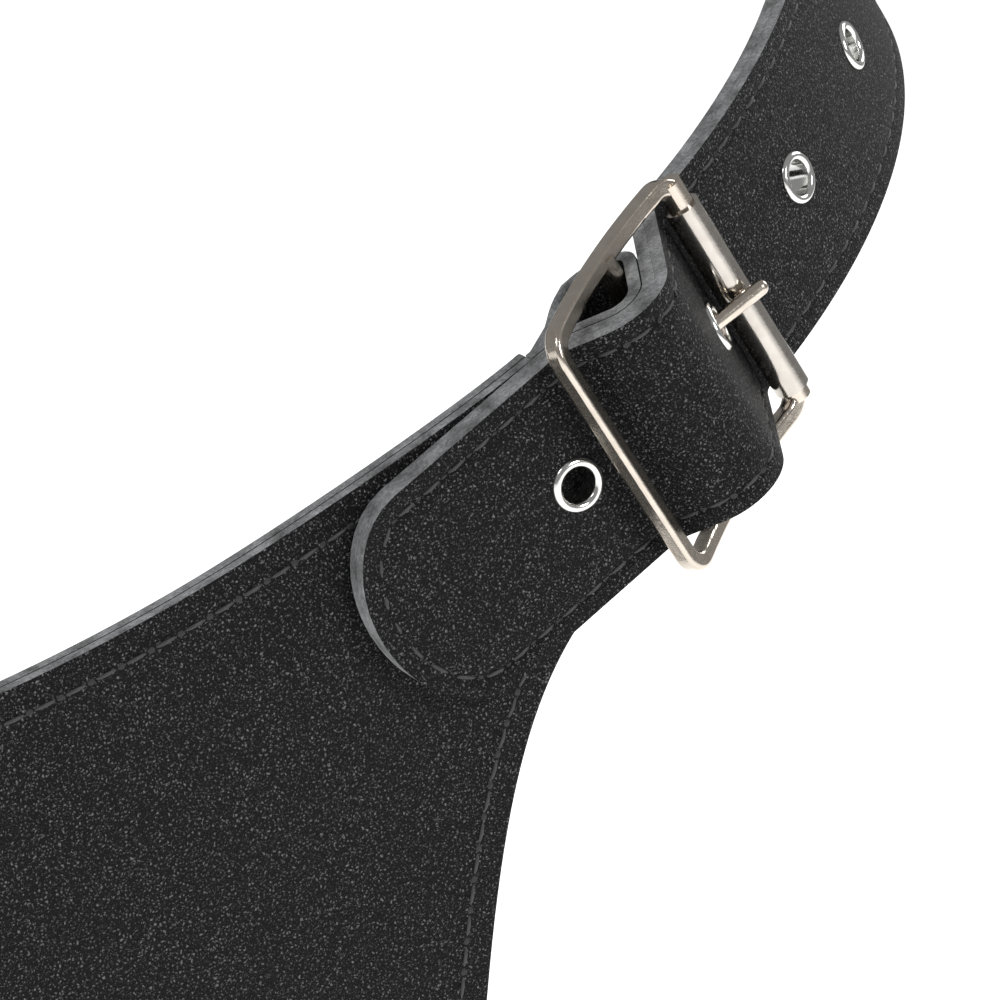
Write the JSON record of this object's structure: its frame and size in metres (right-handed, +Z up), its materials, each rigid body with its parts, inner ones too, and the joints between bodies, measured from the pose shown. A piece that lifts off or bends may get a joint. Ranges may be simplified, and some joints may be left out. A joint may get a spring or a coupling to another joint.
{
  "type": "trainer belly pad",
  "caption": "Black leather padded belly protector for a boxing trainer, with a wide strap buckled at both sides and a foam cushion on its back.",
  "frame": {"origin": "middle of the wearer's waist, half way up the panel", "axes": "+X to the left wing seen from behind (right in the front view), the front faces -Y, +Z up the wearer's body"},
  "size_m": [0.431, 0.3845, 0.4437],
  "materials": {
    "black_leather": "fine grain, soft sheen",
    "lining_leather": "matt flesh side",
    "firm_foam": "closed cell",
    "soft_foam": "open cell",
    "cushion_leather": "soft, matt",
    "nickel_cast": "nickel plate, lightly pitted",
    "nickel_eyelet": "bright nickel plate"
  },
  "bodies": {
    "pad_and_strap": {"panel_facing": "black_leather", "panel_lining": "lining_leather", "cushion_firm_foam": "firm_foam", "cushion_soft_foam": "soft_foam", "cushion_cover": "cushion_leather", "strap_facing": "black_leather", "strap_lining": "lining_leather", "eyelet_1_right": "nickel_eyelet", "eyelet_1_left": "nickel_eyelet", "eyelet_2_right": "nickel_eyelet", "eyelet_2_left": "nickel_eyelet", "eyelet_3_right": "nickel_eyelet", "eyelet_3_left": "nickel_eyelet", "eyelet_4_right": "nickel_eyelet", "eyelet_4_left": "nickel_eyelet", "eyelet_5_right": "nickel_eyelet", "eyelet_5_left": "nickel_eyelet"},
    "frame_right": {"buckle_frame_right": "nickel_cast"},
    "roller_right": {"buckle_roller_right": "nickel_cast"},
    "prong_right": {"buckle_prong_right": "nickel_cast"},
    "frame_left": {"buckle_frame_left": "nickel_cast"},
    "roller_left": {"buckle_roller_left": "nickel_cast"},
    "prong_left": {"buckle_prong_left": "nickel_cast"}
  },
  "joints": [
    {"name": "frame_tilt_right", "type": "hinge", "parent": "pad_and_strap", "child": "frame_right", "pos_m": [0.19142, -0.01375, 0.16771], "axis": [0.3844, 0.3981, -0.8329], "range_deg": [-1, 0.4]},
    {"name": "roller_spin_right", "type": "hinge", "parent": "frame_right", "child": "roller_right", "pos_m": [0.19875, 0.00585, 0.18046], "axis": [0.3844, 0.3981, -0.8329], "continuous": true},
    {"name": "prong_lift_right", "type": "hinge", "parent": "frame_right", "child": "prong_right", "pos_m": [0.19142, -0.01375, 0.16771], "axis": [0.3844, 0.3981, -0.8329], "range_deg": [-0.4, 2.5]},
    {"name": "frame_tilt_left", "type": "hinge", "parent": "pad_and_strap", "child": "frame_left", "pos_m": [-0.19142, -0.01375, 0.16771], "axis": [0.3844, -0.3981, 0.8329], "range_deg": [-1, 0.4]},
    {"name": "roller_spin_left", "type": "hinge", "parent": "frame_left", "child": "roller_left", "pos_m": [-0.19875, 0.00585, 0.18046], "axis": [0.3844, -0.3981, 0.8329], "continuous": true},
    {"name": "prong_lift_left", "type": "hinge", "parent": "frame_left", "child": "prong_left", "pos_m": [-0.19142, -0.01375, 0.16771], "axis": [0.3844, -0.3981, 0.8329], "range_deg": [-0.4, 2.5]}
  ]
}
